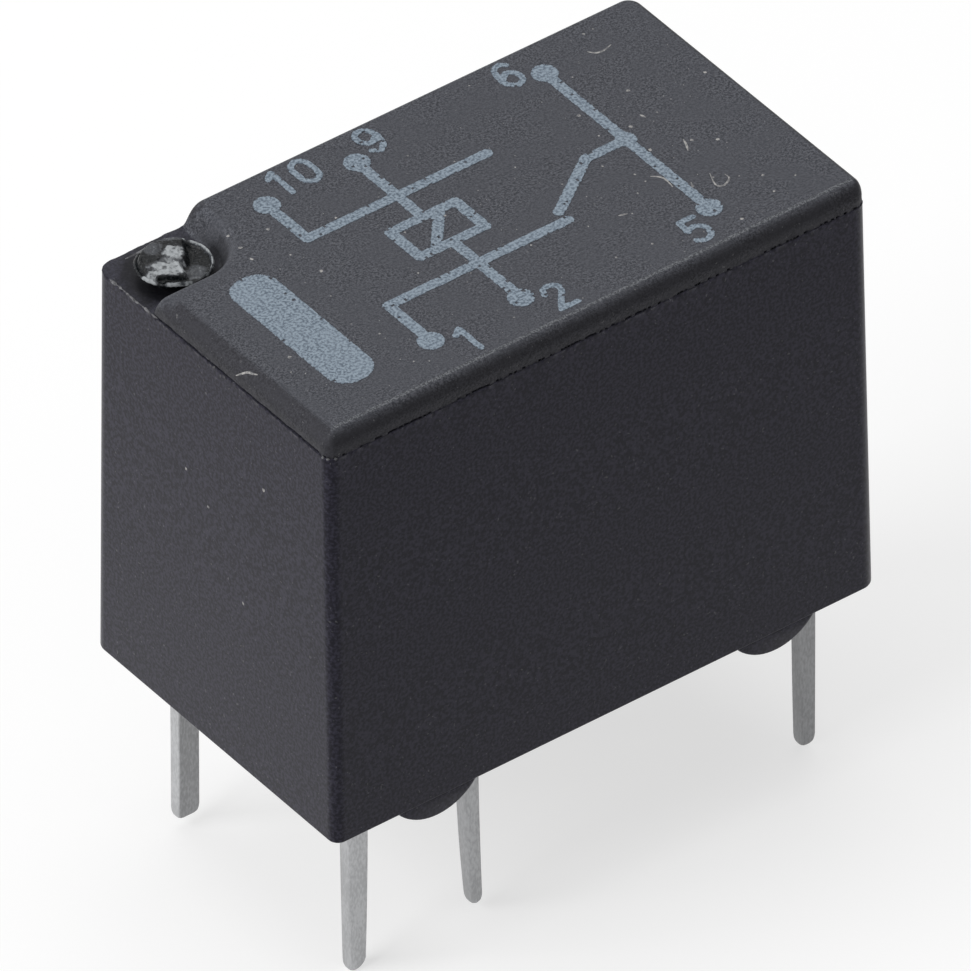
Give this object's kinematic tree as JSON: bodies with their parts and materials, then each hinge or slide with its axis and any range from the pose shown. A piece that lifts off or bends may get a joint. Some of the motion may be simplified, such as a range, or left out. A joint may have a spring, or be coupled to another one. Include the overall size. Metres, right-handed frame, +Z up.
{
  "type": "pcb relay",
  "caption": "Sealed changeover signal relay for circuit boards: moulded box cover on half-moon standoffs, tinned pins below, coil and hinged armature inside.",
  "frame": {"origin": "centre of the pin grid on the sealed flat underside, level with the cover's rim; the board's surface is 0.44 mm below, where the standoffs touch", "axes": "+X along the case from the contact pins to the common pins, +Y across the case, +Z up away from the board"},
  "size_m": [0.0122, 0.0072, 0.0133],
  "materials": {
    "cover_plastic": "fine eroded black moulding",
    "base_plastic": "plain black moulding",
    "seal_resin": "poured dark resin",
    "tinned_strip": "dull tinned copper alloy strip",
    "contact_silver": "silver contact face",
    "bobbin_nylon": "natural nylon moulding",
    "enamelled_copper": "enamelled copper wire",
    "plated_iron": "plated soft iron",
    "leaf_bronze": "rolled spring bronze"
  },
  "bodies": {
    "housing": {"cover": "cover_plastic", "base": "base_plastic", "seal": "seal_resin", "pin_1_terminal": "tinned_strip", "pin_10_terminal": "tinned_strip", "pin_2_terminal": "tinned_strip", "pin_9_terminal": "tinned_strip", "pin_5_terminal": "tinned_strip", "pin_6_terminal": "tinned_strip", "nc_contact": "contact_silver", "no_contact": "contact_silver", "bobbin": "bobbin_nylon", "coil_winding": "enamelled_copper", "coil_lead_start": "enamelled_copper", "coil_lead_end": "enamelled_copper", "core": "plated_iron", "yoke": "plated_iron"},
    "armature_set": {"armature": "plated_iron", "contact_spring": "leaf_bronze", "moving_contact": "contact_silver"}
  },
  "joints": [
    {"name": "armature_pivot", "type": "hinge", "parent": "housing", "child": "armature_set", "pos_m": [0.0043, 0, 0.00642], "axis": [0, -1, 0], "range_deg": [0, 3], "stiffness_Nm_per_rad": 0.0005, "springref_deg": -5.73, "deforming": ["contact_spring"]}
  ]
}
